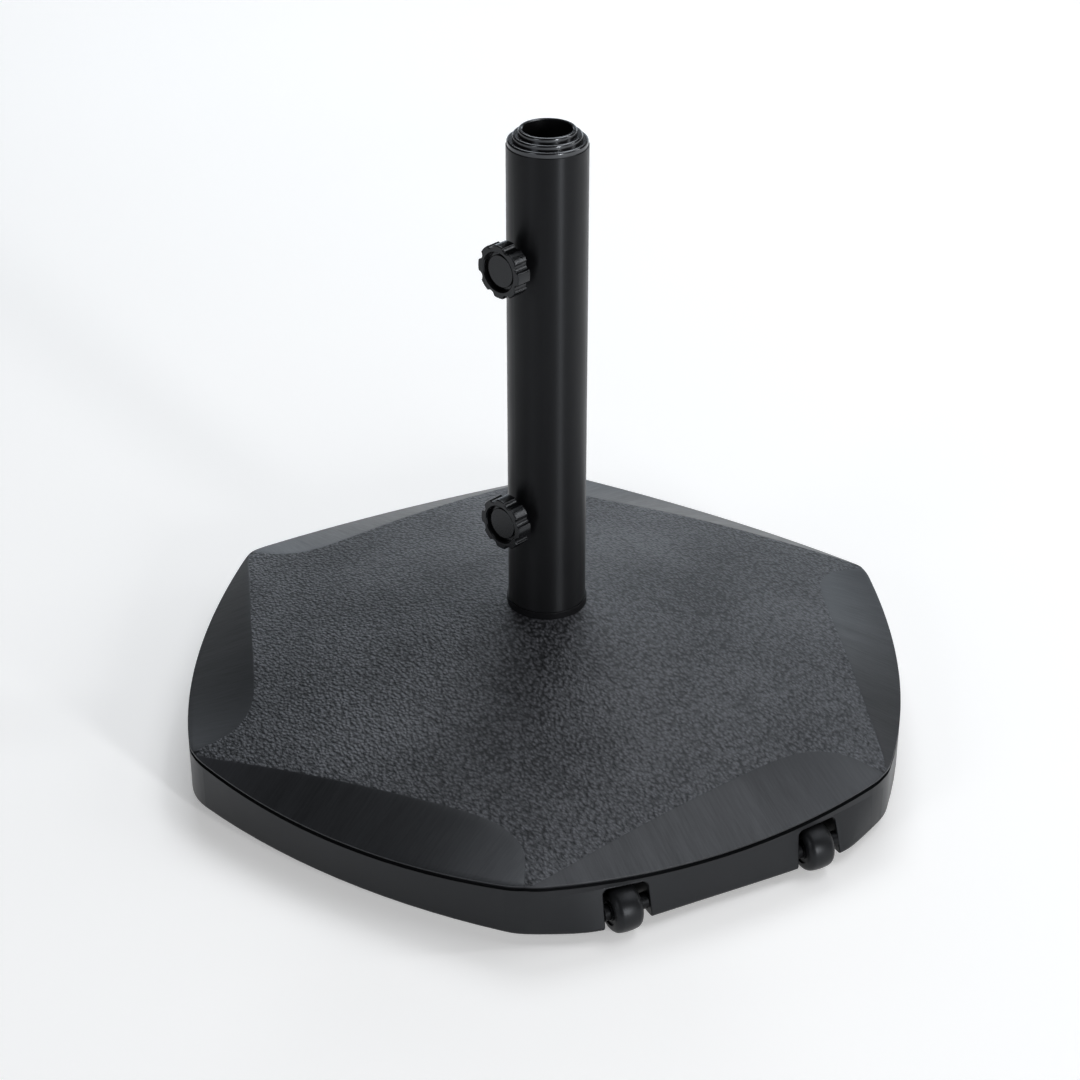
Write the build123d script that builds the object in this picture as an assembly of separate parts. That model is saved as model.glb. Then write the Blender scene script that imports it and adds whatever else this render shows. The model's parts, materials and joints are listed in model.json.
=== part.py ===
"""Parasol base: a concrete-filled hexagonal foot on wheels with a clamped mast tube.

Millimetres, +Z up. The origin lies on the floor, on the axis of the mast tube.
One corner of the hexagon points to -Y; the wheels sit in the side to the right of it.
Each side has its own u, v, z axes: u runs anticlockwise along the side from its middle,
v points outward from the straight line between the two corners, and z points up.
"""
import os
from math import atan2, cos, degrees, hypot, pi, radians, sin, sqrt

from build123d import *

# ---------------------------------------------------------------- driving dimensions
# Hexagonal foot
CORNER_RADIUS = 270.0        # centre to the unrounded corners
SIDE_BULGE = 17.5            # how far the middle of a side bows out from its chord
CORNER_ROUNDING = 45.0       # plan radius of the rounded corners
FOOT_HEIGHT = 7.5            # floor to the underside of the pan
SEAM_CORNER_Z = 44.5         # height of the parting line at the corners
SEAM_DIP = 6.5               # how far the parting line drops in the middle of a side
GROOVE = 3.0                 # height of the shadow groove along the parting line
RIM_LIP = 1.0                # thickness of the cover's edge above the groove
CONE_TOP_Z = 93.5            # height of the cover where it meets the mast tube
CONE_TOP_RADIUS = 30.0

# Facets cut into the cover along each side
FACET_DEPTH = 22.0           # depth of the facet at the middle of a side
FACET_RISE_POWER = 1.1       # shape of the long tapering end
FACET_END_POWER = 6          # shape of the blunt end
FACET_CLAMP = 0.925          # the facet's slope is held constant beyond this part of a half side
FACET_V_LOW = -55.0          # the facet's surface is laid out between these two v positions
FACET_V_HIGH = 32.0
FACET_U_STEPS = 33
FACET_V_STEPS = 4
FACET_TOLERANCE = 0.01

# Shells and ballast
WALL = 3.0
SHELL_CLEARANCE = 0.2
FLANGE_DEPTH = 12.0
BALLAST_CLEARANCE = 0.5

# Wheel side
WHEEL_SIDE_FULL = 19.5       # how far the fuller lower skirt stands out from the chord
WHEEL_SIDE_STRAIGHT_U = 66.0 # the fuller skirt is straight up to here on both sides of the middle
WHEEL_SIDE_BEND = (88.0, 18.4)  # u and v of a point on the bend at each end of the straight part
WHEEL_SIDE_BLEND_Z = 36.0    # height where the fuller skirt has merged into the plain outline
WHEEL_U = 71.5
WHEEL_V = 11.0
WHEEL_Z = 16.8
WHEEL_RADIUS = 15.8
WHEEL_SIDE_RADIUS = 14.4     # radius of the barrel shape at the wheel's two faces
WHEEL_SHOULDER = 5.0         # rounding between the tread and the faces
WHEEL_WIDTH = 19.6
WELL_SHIFT = 1.5             # the wheels run nearer to one wall of their wells
HUB_RADIUS = 6.5
SPACER_RADIUS = 5.5
SPACER_PLAY = 0.25
AXLE_RADIUS = 3.0
AXLE_HALF_LENGTH = 20.5
RUNNING_CLEARANCE = 0.06
WELL_TOP_WIDTH = 30.0
WELL_BOTTOM_WIDTH = 34.0
WELL_TOP_Z = 34.5
WELL_INNER_V = -8.0
WELL_CORNER = 4.0
MOUTH_ROUNDING = 1.0
WHEEL_SIDE_NEAR_V = 9.0      # the skirt around the wells lies outside this v
WELL_SIDE_WALL = 5.5
WELL_ROOF_WALL = 1.6

# Mast tube
TUBE_RADIUS = 27.0
TUBE_WALL = 1.5
TUBE_TOP_Z = 435.2
PLATE_Z = 18.0               # underside of the foot plate
PLATE_THICKNESS = 4.0
PLATE_RADIUS = 60.0
BOLT_CIRCLE_RADIUS = 45.0
COLLAR_RADIUS = 28.0
COLLAR_HEIGHT = 5.5

# Reducer rings: flange radius, sleeve radius, hole radius
REDUCERS = {
    "outer_reducer": (26.4, 25.4, 21.2),
    "middle_reducer": (22.8, 21.1, 17.8),
    "inner_reducer": (19.05, 17.7, 16.3),
}
REDUCER_FLANGE = 3.5
REDUCER_SLEEVE = 50.0

# Clamp screws
CLAMP_AZIMUTH = -131.0
CLAMP_HEIGHTS = {"lower": 173.0, "upper": 360.0}
KNOB_RADIUS = 18.4
KNOB_THICKNESS = 11.3
KNOB_FACE = 45.9             # tube axis to the knob's front face
KNOB_LOBES = 8
LOBE_PHASE = 180.0 / KNOB_LOBES
LOBE_CUT_RADIUS = 3.4
LOBE_CUT_CENTRE = 19.6
RECESS_RADIUS = 13.2
RECESS_DEPTH = 3.5
RECESS_WEB = 1.6             # plastic between the recess and the end of the stud
CAP_RADIUS = 11.1
CAP_THICKNESS = 1.4
STUD_RADIUS = 4.0
STUD_TIP = 17.0              # tube axis to the tip of the stud
STUD_CLEARANCE = 0.1
NUT_ACROSS_FLATS = 13.0
NUT_HEIGHT = 6.5

# Small edge roundings and chamfers
LOBE_ROUNDING = 0.9
KNOB_EDGE = 0.7
RECESS_CHAMFER = 0.8
CAP_ROUNDING = 0.5
STUD_CHAMFER = 1.0
REDUCER_ROUNDING = 1.3
REDUCER_CHAMFER = 0.6
TUBE_ROUNDING = 0.5
COLLAR_ROUNDING = 0.4
AXLE_CHAMFER = 0.5
HEXAGON_CHAMFER = 0.8
SKIRT_ROUNDING = 2.5

# Fasteners and feet
SCREW_RADIUS = 2.0
SCREW_HOLE_RADIUS = 2.3
SCREW_HEAD_RADIUS = 4.0
SCREW_HEAD_HEIGHT = 2.6
HEAD_RECESS_RADIUS = 4.8
SCREW_CIRCLE_RADIUS = 240.0
SCREW_TIP_Z = 28.0
HEAD_TOP_Z = 11.0            # seat of the screw heads in the pan
PILLAR_RADIUS = 7.5
PILLAR_TOP_Z = 14.0
BOSS_RADIUS = 6.0
BOSS_Z = 14.2
PAD_CIRCLE_RADIUS = 208.0
PAD_RADIUS = 16.0
PAD_PLUG_RADIUS = 6.0
PAD_CHAMFER = 1.5
PAD_POCKET_Z = 14.0
BOLT_HOLE_RADIUS = 4.4
BOLT_HEAD_HEIGHT = 5.3
BOLT_END_Z = 42.0
CAST_NUT_Z = 30.0
WASHER_RADIUS = 8.0
WASHER_THICKNESS = 1.6
WELD_LEG = 3.0
DRAIN_RADIUS = 5.0
NECK_WALL = 4.0
NECK_DEPTH = 18.0
HUB_DISH = 1.2
DRIVE_SLOT = 1.0             # width of the cross slots in the screw heads
PLUG_LIP = 1.0
WASHER_PLAY = 0.2
NUT_SINK = 1.0               # how far the weld nuts' blanks start inside the tube's surface

# ---------------------------------------------------------------- derived dimensions
SIDES = 6
SIDE_ANGLE = 360.0 / SIDES
HALF_SIDE = SIDE_ANGLE / 2
APOTHEM = CORNER_RADIUS * cos(radians(HALF_SIDE))
HALF_CHORD = CORNER_RADIUS * sin(radians(HALF_SIDE))
SIDE_RADIUS = (HALF_CHORD**2 + SIDE_BULGE**2) / (2 * SIDE_BULGE)
SIDE_CENTRE = SIDE_RADIUS - APOTHEM - SIDE_BULGE
ROUNDING_CENTRE = (
    sqrt((SIDE_RADIUS - CORNER_ROUNDING) ** 2 - (SIDE_CENTRE * sin(radians(HALF_SIDE))) ** 2)
    - SIDE_CENTRE * cos(radians(HALF_SIDE))
)
OUTER_RADIUS = ROUNDING_CENTRE + CORNER_ROUNDING
RIM_CORNER_Z = SEAM_CORNER_Z + GROOVE / 2 + RIM_LIP
CONE_SLOPE = (CONE_TOP_Z - RIM_CORNER_Z) / (OUTER_RADIUS - CONE_TOP_RADIUS)
PAN_FLOOR_Z = FOOT_HEIGHT + WALL
TUBE_BOTTOM_Z = PLATE_Z + PLATE_THICKNESS
TUBE_BORE_RADIUS = TUBE_RADIUS - TUBE_WALL
STUD_END = KNOB_FACE - RECESS_DEPTH - RECESS_WEB
SKIRT_TOP_Z = SEAM_CORNER_Z + GROOVE
STUD_HOLE_END = STUD_END + SPACER_PLAY
WHEEL_SIDE = 0

# Sizes of the raw blocks that shapes are cut from
BLOCK_TOP_Z = 110.0          # taller than any part of the foot
SLAB_SIZE = 700.0            # wider than the foot
CONE_REACH = 1.2 * OUTER_RADIUS
FACET_REACH = 1.1 * HALF_CHORD
SEAM_REACH = 1.2 * HALF_CHORD
SEAM_CUT_DEPTH = 60.0


# ---------------------------------------------------------------- side frames and curves
def side_azimuth(side):
    """Direction of a side's outward normal, in degrees."""
    return -90.0 + HALF_SIDE + SIDE_ANGLE * side


def side_plane(side):
    """Upright plane on a side's chord: x is u, y is height, and the normal is v."""
    normal = Vector(1, 0, 0).rotate(Axis.Z, side_azimuth(side))
    along = Vector(0, 1, 0).rotate(Axis.Z, side_azimuth(side))
    return Plane(origin=normal * APOTHEM, x_dir=along, z_dir=normal)


def corner_azimuths():
    return [-90.0 + SIDE_ANGLE * corner for corner in range(SIDES)]


def seam_z(u):
    """Height of the parting line at u."""
    return SEAM_CORNER_Z - SEAM_DIP * (1 - (u / HALF_CHORD) ** 2)


def rim_v(u):
    """How far the cover's edge stands out from the chord at u."""
    return SIDE_BULGE * (1 - (u / HALF_CHORD) ** 2)


def facet_inner_v(u):
    """Inner edge of the facet: a long taper at one end and a blunt curve at the other."""
    t = u / HALF_CHORD
    return -FACET_DEPTH * (1 + t) ** FACET_RISE_POWER * (1 - t**FACET_END_POWER)


def cone_z(u, v):
    return RIM_CORNER_Z + CONE_SLOPE * (OUTER_RADIUS - hypot(APOTHEM + v, u))


def facet_slope(u):
    """Slope that makes the facet run from the rim up to the cone along its inner edge."""
    limit = FACET_CLAMP * HALF_CHORD
    u = max(-limit, min(limit, u))
    inner_v = facet_inner_v(u)
    rim_z = seam_z(u) + GROOVE / 2 + RIM_LIP
    return (cone_z(u, inner_v) - rim_z) / (rim_v(u) - inner_v)


def facet_z(u, v):
    rim_z = seam_z(u) + GROOVE / 2 + RIM_LIP
    return rim_z + facet_slope(u) * (rim_v(u) - v)


def polar(radius, azimuth, z=0.0):
    return Vector(radius * cos(radians(azimuth)), radius * sin(radians(azimuth)), z)


def rounding_end():
    """Radius and angle from a side's middle of the point where a rounded corner ends."""
    reach = SIDE_RADIUS / (SIDE_RADIUS - CORNER_ROUNDING)
    tangent_x = (ROUNDING_CENTRE * cos(radians(HALF_SIDE)) + SIDE_CENTRE) * reach - SIDE_CENTRE
    tangent_y = ROUNDING_CENTRE * sin(radians(HALF_SIDE)) * reach
    return hypot(tangent_x, tangent_y), degrees(atan2(tangent_y, tangent_x))


def plain_side(side):
    """Half corner, bowed side, half corner."""
    azimuth = side_azimuth(side)
    tangent_radius, tangent_angle = rounding_end()
    edges = []
    for sign in (-1, 1):
        centre = polar(ROUNDING_CENTRE, azimuth + sign * HALF_SIDE)
        corner = polar(OUTER_RADIUS, azimuth + sign * HALF_SIDE)
        tangent = polar(tangent_radius, azimuth + sign * tangent_angle)
        between = ((corner - centre) + (tangent - centre)).normalized() * CORNER_ROUNDING + centre
        ends = (corner, between, tangent)[::-sign]
        edges.append(ThreePointArc(*ends))
    start = polar(tangent_radius, azimuth - tangent_angle)
    end = polar(tangent_radius, azimuth + tangent_angle)
    bowed = ThreePointArc(start, polar(APOTHEM + SIDE_BULGE, azimuth), end)
    return [edges[0], bowed, edges[1]]


def full_side(side):
    """The fuller lower skirt of the wheel side: round, straight with bent ends, round."""
    azimuth = side_azimuth(side)
    end_angle = rounding_end()[1]
    angles = [-HALF_SIDE, -(HALF_SIDE + end_angle) / 2, -end_angle]
    first = ThreePointArc(*[polar(OUTER_RADIUS, azimuth + angle) for angle in angles])
    last = ThreePointArc(*[polar(OUTER_RADIUS, azimuth - angle) for angle in reversed(angles)])
    bend_u, bend_v = WHEEL_SIDE_BEND
    straight_v = WHEEL_SIDE_FULL
    bends = [(-bend_u, bend_v), (-WHEEL_SIDE_STRAIGHT_U, straight_v), (0, straight_v)]
    bends += [(-u, v) for u, v in bends[1::-1]]
    points = [side_plane(side).from_local_coords(Vector(u, 0, v)) for u, v in bends]
    straight = Spline(first @ 1, *points, last @ 0, tangents=(first % 1, last % 0))
    return [first, straight, last]


def outline(z=0.0, full_wheel_side=False):
    """Plan outline of the foot as a face at height z."""
    edges = []
    for side in range(SIDES):
        wide = full_wheel_side and side == WHEEL_SIDE
        edges += full_side(side) if wide else plain_side(side)
    return Pos(0, 0, z) * Face(Wire([curve.edge() for curve in edges]))


def slab_face():
    return Face.make_rect(SLAB_SIZE, SLAB_SIZE)


def inset_outline(amount, z=0.0):
    return Pos(0, 0, z) * offset(outline(), -amount).face()


# ---------------------------------------------------------------- building blocks
def rod(radius, low_z, high_z, centre=(0, 0)):
    """Upright cylinder between two heights."""
    return Pos(centre[0], centre[1], low_z) * extrude(Circle(radius), high_z - low_z)


def ring(outer_radius, inner_radius, low_z, high_z):
    return rod(outer_radius, low_z, high_z) - rod(inner_radius, low_z, high_z)


def cone_block(drop):
    """Everything below the cover's cone, lowered by drop."""
    top = CONE_TOP_Z - drop
    far_z = top - CONE_SLOPE * (CONE_REACH - CONE_TOP_RADIUS)
    outer_line = [(CONE_REACH, 0), (CONE_REACH, far_z), (CONE_TOP_RADIUS, top)]
    profile = Polyline((0, 0), *outer_line, (0, top), close=True)
    return revolve(Plane.XZ * make_face(profile), Axis.Z)


def facet_cutter(side, drop):
    """Space above one facet, lowered by drop."""
    plane = side_plane(side)
    rows = []
    for i in range(FACET_U_STEPS):
        u = FACET_REACH * (2 * i / (FACET_U_STEPS - 1) - 1)
        row = []
        for j in range(FACET_V_STEPS):
            v = FACET_V_LOW + (FACET_V_HIGH - FACET_V_LOW) * j / (FACET_V_STEPS - 1)
            row.append(plane.from_local_coords(Vector(u, facet_z(u, v) - drop, v)))
        rows.append(row)
    surface = Face.make_surface_from_array_of_points(
        rows, tol=FACET_TOLERANCE, min_deg=1, max_deg=3
    )
    return Solid.extrude(surface, Vector(0, 0, BLOCK_TOP_Z))


def domed_block(face, drop):
    """Solid under the cover's top surface within a plan face, lowered by drop."""
    block = extrude(face, BLOCK_TOP_Z) & cone_block(drop)
    for side in range(SIDES):
        block -= facet_cutter(side, drop)
    return block


def above_seam(side, lift):
    """Space above the parting line of one side, raised by lift."""
    right = (SEAM_REACH, seam_z(SEAM_REACH) + lift)
    left = (-SEAM_REACH, right[1])
    arc = ThreePointArc(left, (0, seam_z(0) + lift), right)
    lid = Polyline(right, (SEAM_REACH, BLOCK_TOP_Z), (-SEAM_REACH, BLOCK_TOP_Z), left)
    return extrude(side_plane(side) * make_face(arc + lid), SEAM_CUT_DEPTH, both=True)


def below_seam_block(face, low_z, lift):
    """Solid within a plan face that ends at the parting line."""
    top_z = seam_z(SEAM_REACH) + lift
    block = Pos(0, 0, low_z) * extrude(face, top_z - low_z)
    for side in range(SIDES):
        block -= above_seam(side, lift)
    return block


def well_section(grow_side, grow_top, low_z):
    """Upright section of a wheel well: narrower at the top, with rounded upper corners."""
    top = WELL_TOP_Z + grow_top
    half_top = WELL_TOP_WIDTH / 2 + grow_side
    half_bottom = WELL_BOTTOM_WIDTH / 2 + grow_side
    corners = [(-half_bottom, low_z), (half_bottom, low_z), (half_top, top), (-half_top, top)]
    face = make_face(Polyline(*corners, close=True))
    return fillet(face.vertices().group_by(Axis.Y)[-1], WELL_CORNER)


def well_block(u, grow_side, grow_top, inner_v, outer_v, low_z):
    """Wheel well space, or a larger block around it, on the wheel side."""
    section = Pos(u, 0) * well_section(grow_side, grow_top, low_z)
    plane = side_plane(WHEEL_SIDE).offset(inner_v)
    return extrude(plane * section, outer_v - inner_v)


def hexagon_blank(low_z, high_z):
    """Hexagon with chamfered corners along Z."""
    corner_radius = NUT_ACROSS_FLATS / (2 * cos(pi / 6))
    blank = Pos(0, 0, low_z) * extrude(RegularPolygon(corner_radius, 6), high_z - low_z)
    barrel = rod(corner_radius, low_z, high_z)
    return blank & chamfer(barrel.edges().filter_by(GeomType.CIRCLE), HEXAGON_CHAMFER)


def hexagon_nut(low_z, bore_radius, height):
    high_z = low_z + height
    return hexagon_blank(low_z, high_z) - rod(bore_radius, low_z, high_z)


def clamp_place(height):
    """Location whose Z axis points out of the tube along a clamp screw."""
    direction = polar(1, CLAMP_AZIMUTH)
    return Plane(origin=(0, 0, height), x_dir=(0, 0, 1), z_dir=direction).location


def axle_place(sign, shift=0.0):
    """Location on a wheel's centre, moved by shift, whose Z axis runs along the axle."""
    plane = side_plane(WHEEL_SIDE)
    centre = plane.from_local_coords(Vector(sign * WHEEL_U + shift, WHEEL_Z, WHEEL_V))
    return Plane(origin=centre, x_dir=(0, 0, 1), z_dir=plane.x_dir).location


# ---------------------------------------------------------------- foot
def slab(low_z, high_z):
    """Square block larger than the foot, between two heights."""
    return Pos(0, 0, low_z) * extrude(Rectangle(SLAB_SIZE, SLAB_SIZE), high_z - low_z)


def well_centres():
    return [sign * WHEEL_U + WELL_SHIFT for sign in (-1, 1)]


def wheel_wells(grow_side, grow_top, inner_v, low_z):
    """Both wheel wells as one cutting shape, open to the outside of the foot."""
    left, right = [
        well_block(u, grow_side, grow_top, inner_v, SIDE_BULGE * 2, low_z) for u in well_centres()
    ]
    return left + right


def mouth_edges(pan):
    """Edges where the wheel wells open through the outside of the skirt."""
    plane = side_plane(WHEEL_SIDE)
    found = []
    for edge in pan.edges().filter_by(GeomType.BSPLINE):
        ends = [plane.to_local_coords(edge @ t) for t in (0, 1)]
        if min(end.Z for end in ends) < WHEEL_SIDE_NEAR_V:
            continue
        for well_u in well_centres():
            if max(abs(end.X - well_u) for end in ends) < WELL_BOTTOM_WIDTH / 2 + SPACER_PLAY:
                found.append(edge)
    return found


def circle_of(radius, low_z, high_z, centre_radius, azimuths):
    """Upright cylinders spaced around the tube's axis."""
    solids = []
    for azimuth in azimuths:
        centre = polar(centre_radius, azimuth)
        solids.append(rod(radius, low_z, high_z, (centre.X, centre.Y)))
    return solids


def make_top_shell():
    """Cover with six facets, an inner flange, screw bosses and the tube's neck."""
    flange_inset = WALL + SHELL_CLEARANCE
    hollow_face = inset_outline(flange_inset + WALL)
    shell = domed_block(outline(), 0) - below_seam_block(slab_face(), 0, GROOVE / 2)
    flange = domed_block(inset_outline(flange_inset), WALL / 2)
    flange &= slab(seam_z(0) - FLANGE_DEPTH, BLOCK_TOP_Z)
    shell = shell + flange - domed_block(hollow_face, WALL)
    boss_block = domed_block(hollow_face, WALL / 2)
    bosses = circle_of(BOSS_RADIUS, BOSS_Z, BLOCK_TOP_Z, SCREW_CIRCLE_RADIUS, corner_azimuths())
    for boss in bosses:
        shell += boss & boss_block
    shell += rod(TUBE_RADIUS + NECK_WALL, CONE_TOP_Z - NECK_DEPTH, CONE_TOP_Z - WALL / 2)
    shell -= rod(TUBE_RADIUS + SHELL_CLEARANCE, 0, BLOCK_TOP_Z)
    shell -= wheel_wells(
        WELL_SIDE_WALL + BALLAST_CLEARANCE,
        WELL_ROOF_WALL + BALLAST_CLEARANCE,
        WELL_INNER_V - WALL,
        0,
    )
    for hole in circle_of(
        SCREW_RADIUS, BOSS_Z, SCREW_TIP_Z, SCREW_CIRCLE_RADIUS, corner_azimuths()
    ):
        shell -= hole
    return shell


def make_bottom_pan():
    """Skirt and floor, with the two wheel wells moulded into the wheel side."""
    levels = [outline(FOOT_HEIGHT, True), outline(WHEEL_SIDE_BLEND_Z), outline(SKIRT_TOP_Z)]
    skirt = loft(levels, ruled=True)
    skirt = fillet(skirt.edges().group_by(Axis.Z)[0], SKIRT_ROUNDING)
    skirt &= below_seam_block(slab_face(), 0, -GROOVE / 2)
    cavity = extrude(inset_outline(WALL, PAN_FLOOR_Z), BLOCK_TOP_Z)
    pan = skirt - cavity
    housing = wheel_wells(WELL_SIDE_WALL, WELL_ROOF_WALL, WELL_INNER_V - WALL, FOOT_HEIGHT)
    pan += housing & skirt
    pan -= wheel_wells(0, 0, WELL_INNER_V, 0)
    for sign in (-1, 1):
        pan -= axle_solid(sign)
    corners = corner_azimuths()
    for pillar in circle_of(PILLAR_RADIUS, PAN_FLOOR_Z, PILLAR_TOP_Z, SCREW_CIRCLE_RADIUS, corners):
        pan += pillar
    cutters = circle_of(SCREW_HOLE_RADIUS, 0, BLOCK_TOP_Z, SCREW_CIRCLE_RADIUS, corners)
    cutters += circle_of(HEAD_RECESS_RADIUS, 0, HEAD_TOP_Z, SCREW_CIRCLE_RADIUS, corners)
    cutters += circle_of(PAD_PLUG_RADIUS, 0, PAN_FLOOR_Z, PAD_CIRCLE_RADIUS, corners)
    cutters.append(rod(DRAIN_RADIUS, 0, PAN_FLOOR_Z))
    for cutter in cutters:
        pan -= cutter
    return fillet(mouth_edges(pan), MOUTH_ROUNDING)


def make_ballast():
    """Concrete fill, with room for the foot plate, the bolts, the wells and the bosses."""
    face = inset_outline(2 * WALL + SHELL_CLEARANCE + BALLAST_CLEARANCE)
    block = domed_block(face, WALL + BALLAST_CLEARANCE)
    block &= slab(PAN_FLOOR_Z + BALLAST_CLEARANCE, BLOCK_TOP_Z)
    block -= wheel_wells(
        WELL_SIDE_WALL + 2 * BALLAST_CLEARANCE,
        WELL_ROOF_WALL + 2 * BALLAST_CLEARANCE,
        WELL_INNER_V - 2 * WALL,
        0,
    )
    corners = corner_azimuths()
    cutters = circle_of(PILLAR_RADIUS + WALL, 0, BLOCK_TOP_Z, SCREW_CIRCLE_RADIUS, corners)
    cutters += circle_of(PAD_PLUG_RADIUS + WALL, 0, PAD_POCKET_Z, PAD_CIRCLE_RADIUS, corners)
    cutters += circle_of(STUD_RADIUS, 0, BOLT_END_Z + WALL, BOLT_CIRCLE_RADIUS, bolt_azimuths())
    cutters += place_on_bolts(hexagon_blank(CAST_NUT_Z, CAST_NUT_Z + NUT_HEIGHT))
    cutters.append(rod(TUBE_RADIUS + BALLAST_CLEARANCE, 0, BLOCK_TOP_Z))
    cutters.append(rod(TUBE_RADIUS + NECK_WALL + WALL, CONE_TOP_Z - NECK_DEPTH - WALL, BLOCK_TOP_Z))
    cutters.append(rod(PLATE_RADIUS + BALLAST_CLEARANCE, 0, TUBE_BOTTOM_Z))
    cutters.append(weld_bead(BALLAST_CLEARANCE))
    for cutter in cutters:
        block -= cutter
    return block


def make_rubber_feet():
    """Pads under the corners, each held by a plug through the pan's floor."""
    feet = []
    for azimuth in corner_azimuths():
        centre = polar(PAD_CIRCLE_RADIUS, azimuth)
        place = (centre.X, centre.Y)
        pad = rod(PAD_RADIUS, 0, FOOT_HEIGHT, place)
        pad = chamfer(pad.edges().group_by(Axis.Z)[0], PAD_CHAMFER)
        plug = rod(PAD_PLUG_RADIUS, FOOT_HEIGHT, PAN_FLOOR_Z, place)
        lip = rod(PAD_PLUG_RADIUS + PLUG_LIP, PAN_FLOOR_Z, PAN_FLOOR_Z + PAD_CHAMFER, place)
        feet.append((pad + plug + lip).solid())
    return Compound(feet)


def make_pan_screws():
    """Screws that hold the pan to the cover's bosses."""
    screws = []
    for azimuth in corner_azimuths():
        centre = polar(SCREW_CIRCLE_RADIUS, azimuth)
        place = (centre.X, centre.Y)
        head = rod(SCREW_HEAD_RADIUS, HEAD_TOP_Z - SCREW_HEAD_HEIGHT, HEAD_TOP_Z, place)
        head = fillet(head.edges().group_by(Axis.Z)[0], SCREW_HEAD_HEIGHT / 3)
        slot_z = HEAD_TOP_Z - SCREW_HEAD_HEIGHT
        for turn in (0, 90):
            slot = Rot(0, 0, azimuth + turn) * Box(SCREW_HEAD_RADIUS, DRIVE_SLOT, SCREW_HEAD_HEIGHT)
            head -= Pos(centre.X, centre.Y, slot_z) * slot
        screws.append((head + rod(SCREW_RADIUS, HEAD_TOP_Z, SCREW_TIP_Z, place)).solid())
    return Compound(screws)


# ---------------------------------------------------------------- wheels
def axle_solid(sign):
    centre = axle_place(sign, WELL_SHIFT)
    return centre * extrude(Circle(AXLE_RADIUS), AXLE_HALF_LENGTH, both=True)


def make_axle(sign):
    """Steel pin pressed into the two walls of a wheel well."""
    axle = axle_solid(sign)
    return chamfer(axle.edges().filter_by(GeomType.CIRCLE), AXLE_CHAMFER)


def make_wheel(sign):
    """Barrel-shaped roller with a dished hub on each face."""
    half = WHEEL_WIDTH / 2
    bore = AXLE_RADIUS + RUNNING_CLEARANCE
    tread = ThreePointArc((WHEEL_SIDE_RADIUS, -half), (WHEEL_RADIUS, 0), (WHEEL_SIDE_RADIUS, half))
    sides = Polyline(tread @ 1, (bore, half), (bore, -half), tread @ 0)
    profile = make_face(tread + sides)
    profile = fillet(profile.vertices().group_by(Axis.X)[-1], WHEEL_SHOULDER)
    wheel = revolve(Plane.XZ * profile, Axis.Z)
    for low_z in (-half, half - HUB_DISH):
        wheel -= ring(WHEEL_SIDE_RADIUS - WHEEL_SHOULDER, HUB_RADIUS, low_z, low_z + HUB_DISH)
    return axle_place(sign) * wheel


def make_axle_spacers():
    """Sleeves on the axles between the wheels and the walls of their wells."""
    fall = (WHEEL_Z - FOOT_HEIGHT) / (WELL_TOP_Z - FOOT_HEIGHT)
    half_well = (WELL_BOTTOM_WIDTH - fall * (WELL_BOTTOM_WIDTH - WELL_TOP_WIDTH)) / 2
    slope_room = SPACER_RADIUS * (WELL_BOTTOM_WIDTH - WELL_TOP_WIDTH) / 2 / (WELL_TOP_Z - FOOT_HEIGHT)
    spacers = []
    for sign in (-1, 1):
        for side in (-1, 1):
            wall = side * (half_well - slope_room - SPACER_PLAY) + WELL_SHIFT
            wheel_face = side * (WHEEL_WIDTH / 2 + SPACER_PLAY)
            low, high = sorted((wall, wheel_face))
            spacer = ring(SPACER_RADIUS, AXLE_RADIUS, low, high)
            spacers.append((axle_place(sign) * spacer).solid())
    return Compound(spacers)


# ---------------------------------------------------------------- mast tube
def make_pole_tube():
    """Mast tube with its weld to the foot plate and a clear hole for each clamp screw."""
    tube = ring(TUBE_RADIUS, TUBE_BORE_RADIUS, TUBE_BOTTOM_Z, TUBE_TOP_Z)
    top_edge = tube.edges().group_by(Axis.Z)[-1].sort_by(SortBy.RADIUS)[-1]
    tube = fillet(top_edge, TUBE_ROUNDING) + weld_bead()
    for height in CLAMP_HEIGHTS.values():
        hole = extrude(Circle(STUD_RADIUS + STUD_CLEARANCE), 2 * TUBE_RADIUS)
        tube -= clamp_place(height) * hole
    return tube


def make_pole_collar():
    """Trim ring around the tube, on top of the cover."""
    collar = ring(COLLAR_RADIUS, TUBE_RADIUS, CONE_TOP_Z, CONE_TOP_Z + COLLAR_HEIGHT)
    top_edge = collar.edges().group_by(Axis.Z)[-1].sort_by(SortBy.RADIUS)[-1]
    return fillet(top_edge, COLLAR_ROUNDING)


def weld_bead(grow=0.0):
    """Fillet weld between the tube and its foot plate."""
    leg = WELD_LEG + grow
    corner = (TUBE_RADIUS, TUBE_BOTTOM_Z)
    profile = Polyline(
        corner, (corner[0] + leg, corner[1]), (corner[0], corner[1] + leg), close=True
    )
    return revolve(Plane.XZ * make_face(profile), Axis.Z)


def bolt_azimuths():
    return [45.0, 135.0, 225.0, 315.0]


def make_foot_plate():
    """Round plate under the tube, with bolt holes and a drain hole."""
    plate = rod(PLATE_RADIUS, PLATE_Z, TUBE_BOTTOM_Z) - rod(DRAIN_RADIUS, 0, TUBE_BOTTOM_Z)
    for hole in circle_of(BOLT_HOLE_RADIUS, 0, TUBE_BOTTOM_Z, BOLT_CIRCLE_RADIUS, bolt_azimuths()):
        plate -= hole
    return plate


def place_on_bolts(solid):
    """A copy of a solid, made on the tube's axis, at each bolt."""
    copies = []
    for azimuth in bolt_azimuths():
        centre = polar(BOLT_CIRCLE_RADIUS, azimuth)
        copies.append((Pos(centre.X, centre.Y, 0) * solid).solid())
    return copies


def make_cast_in_nuts():
    """Nuts set in the concrete for the anchor bolts."""
    return Compound(place_on_bolts(hexagon_nut(CAST_NUT_Z, STUD_RADIUS, NUT_HEIGHT)))


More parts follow.
